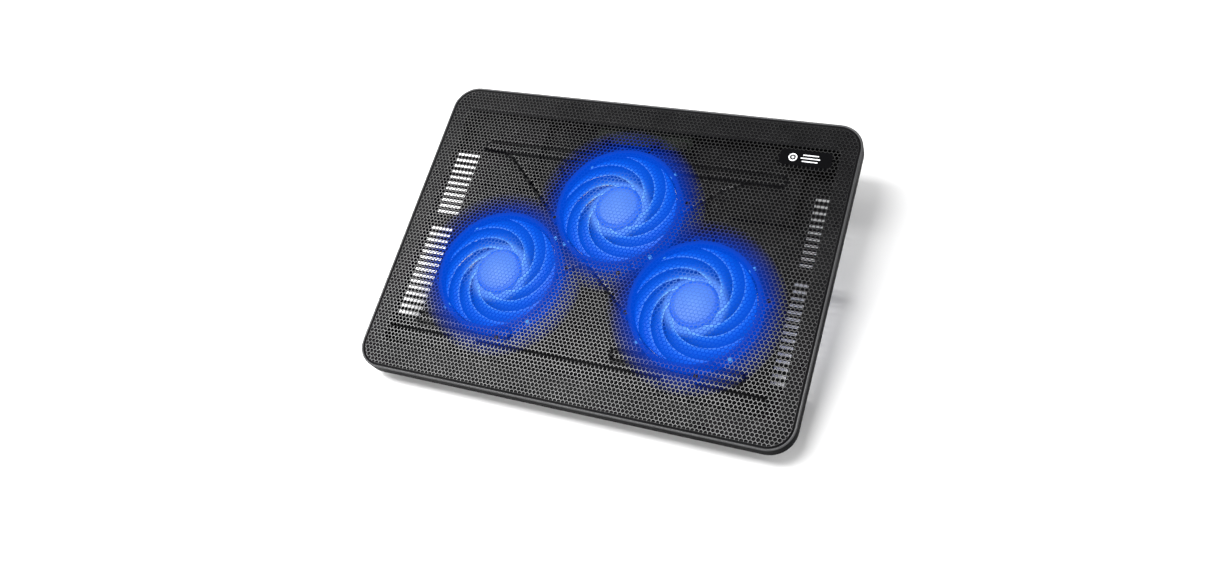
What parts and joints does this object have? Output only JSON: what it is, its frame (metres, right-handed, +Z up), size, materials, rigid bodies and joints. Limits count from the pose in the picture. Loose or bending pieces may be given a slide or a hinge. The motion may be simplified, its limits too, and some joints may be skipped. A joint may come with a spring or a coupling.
{
  "type": "laptop cooling pad",
  "caption": "Tilted laptop cooling pad: perforated steel deck over lit fans in a shallow plastic tray, with fold-out rear legs and rear power sockets.",
  "frame": {"origin": "middle of the outline on the table, with the pad standing on its front feet and its two opened rear legs", "axes": "+X to the right along the pad's width, +Y to the rear, +Z up; the deck is tilted 12 degrees about X, rear edge up"},
  "size_m": [0.38, 0.2764, 0.082],
  "materials": {
    "shell_plastic": "fine satin texture, moulded black plastic",
    "frame_plastic": "satin moulded black plastic with a soft highlight on the rim",
    "steel_mesh": "satin black powder coat on perforated steel sheet",
    "badge_gloss": "polished black",
    "badge_white": "white print",
    "foot_rubber": "matte rubber",
    "leg_plastic": "satin moulded plastic",
    "pin_steel": "bright drawn steel",
    "board_mask": "black solder mask",
    "socket_shell": "bright tinned steel",
    "tongue_plastic": "white plastic",
    "switch_metal": "plated",
    "slider_plastic": "light grey plastic",
    "plug_plastic": "black plastic",
    "screw_black": "black oxide",
    "screw_steel": "zinc plate",
    "fan_plastic": "satin black plastic",
    "bearing_bronze": "sintered bronze",
    "core_steel": "stacked electrical steel",
    "coil_copper": "enamelled copper wire",
    "led_clear": "clear lens, blue light",
    "blade_blue": "translucent plastic lit blue",
    "magnet_grey": "bonded ferrite",
    "shaft_steel": "ground steel",
    "lead_jacket": "black vinyl"
  },
  "bodies": {
    "pad": {"bottom_shell": "shell_plastic", "top_frame": "frame_plastic", "mesh_panel": "steel_mesh", "badge_plate": "badge_gloss", "badge_symbol": "badge_white", "foot_front_left": "foot_rubber", "foot_front_right": "foot_rubber", "foot_rear_left": "foot_rubber", "foot_rear_right": "foot_rubber", "leg_pin_left": "pin_steel", "leg_pin_right": "pin_steel", "hub_board": "board_mask", "usb_socket_left": "socket_shell", "usb_socket_right": "socket_shell", "usb_tongues": "tongue_plastic", "switch_body": "switch_metal", "lead_plugs": "plug_plastic", "fan_screws": "screw_black", "shell_screws": "screw_black", "board_screws": "screw_steel", "fan_frame_left": "fan_plastic", "bearing_left": "bearing_bronze", "stator_core_left": "core_steel", "stator_coils_left": "coil_copper", "fan_board_left": "board_mask", "fan_leds_left": "led_clear", "fan_lead_left": "lead_jacket", "fan_frame_middle": "fan_plastic", "bearing_middle": "bearing_bronze", "stator_core_middle": "core_steel", "stator_coils_middle": "coil_copper", "fan_board_middle": "board_mask", "fan_leds_middle": "led_clear", "fan_lead_middle": "lead_jacket", "fan_frame_right": "fan_plastic", "bearing_right": "bearing_bronze", "stator_core_right": "core_steel", "stator_coils_right": "coil_copper", "fan_board_right": "board_mask", "fan_leds_right": "led_clear", "fan_lead_right": "lead_jacket"},
    "rotor_left": {"impeller_left": "blade_blue", "magnet_ring_left": "magnet_grey", "fan_shaft_left": "shaft_steel"},
    "rotor_middle": {"impeller_middle": "blade_blue", "magnet_ring_middle": "magnet_grey", "fan_shaft_middle": "shaft_steel"},
    "rotor_right": {"impeller_right": "blade_blue", "magnet_ring_right": "magnet_grey", "fan_shaft_right": "shaft_steel"},
    "leg_left_body": {"leg_left": "leg_plastic", "leg_tip_left": "foot_rubber"},
    "leg_right_body": {"leg_right": "leg_plastic", "leg_tip_right": "foot_rubber"},
    "slider": {"power_slider": "slider_plastic"}
  },
  "joints": [
    {"name": "rotor_left_spin", "type": "hinge", "parent": "pad", "child": "rotor_left", "pos_m": [-0.0915, -0.03103, 0.03429], "axis": [0, -0.2079, 0.9781], "continuous": true},
    {"name": "rotor_middle_spin", "type": "hinge", "parent": "pad", "child": "rotor_middle", "pos_m": [-0.003, 0.04233, 0.04988], "axis": [0, -0.2079, 0.9781], "continuous": true},
    {"name": "rotor_right_spin", "type": "hinge", "parent": "pad", "child": "rotor_right", "pos_m": [0.0855, -0.03103, 0.03429], "axis": [0, -0.2079, 0.9781], "continuous": true},
    {"name": "leg_left_fold", "type": "hinge", "parent": "pad", "child": "leg_left_body", "pos_m": [-0.12, 0.1123, 0.05739], "axis": [-1, 0, 0], "range_deg": [0, 90]},
    {"name": "leg_right_fold", "type": "hinge", "parent": "pad", "child": "leg_right_body", "pos_m": [0.12, 0.1123, 0.05739], "axis": [-1, 0, 0], "range_deg": [0, 90]},
    {"name": "power_switch_slide", "type": "slide", "parent": "pad", "child": "slider", "axis": [1, 0, 0], "range_m": [0, 0.003]}
  ]
}
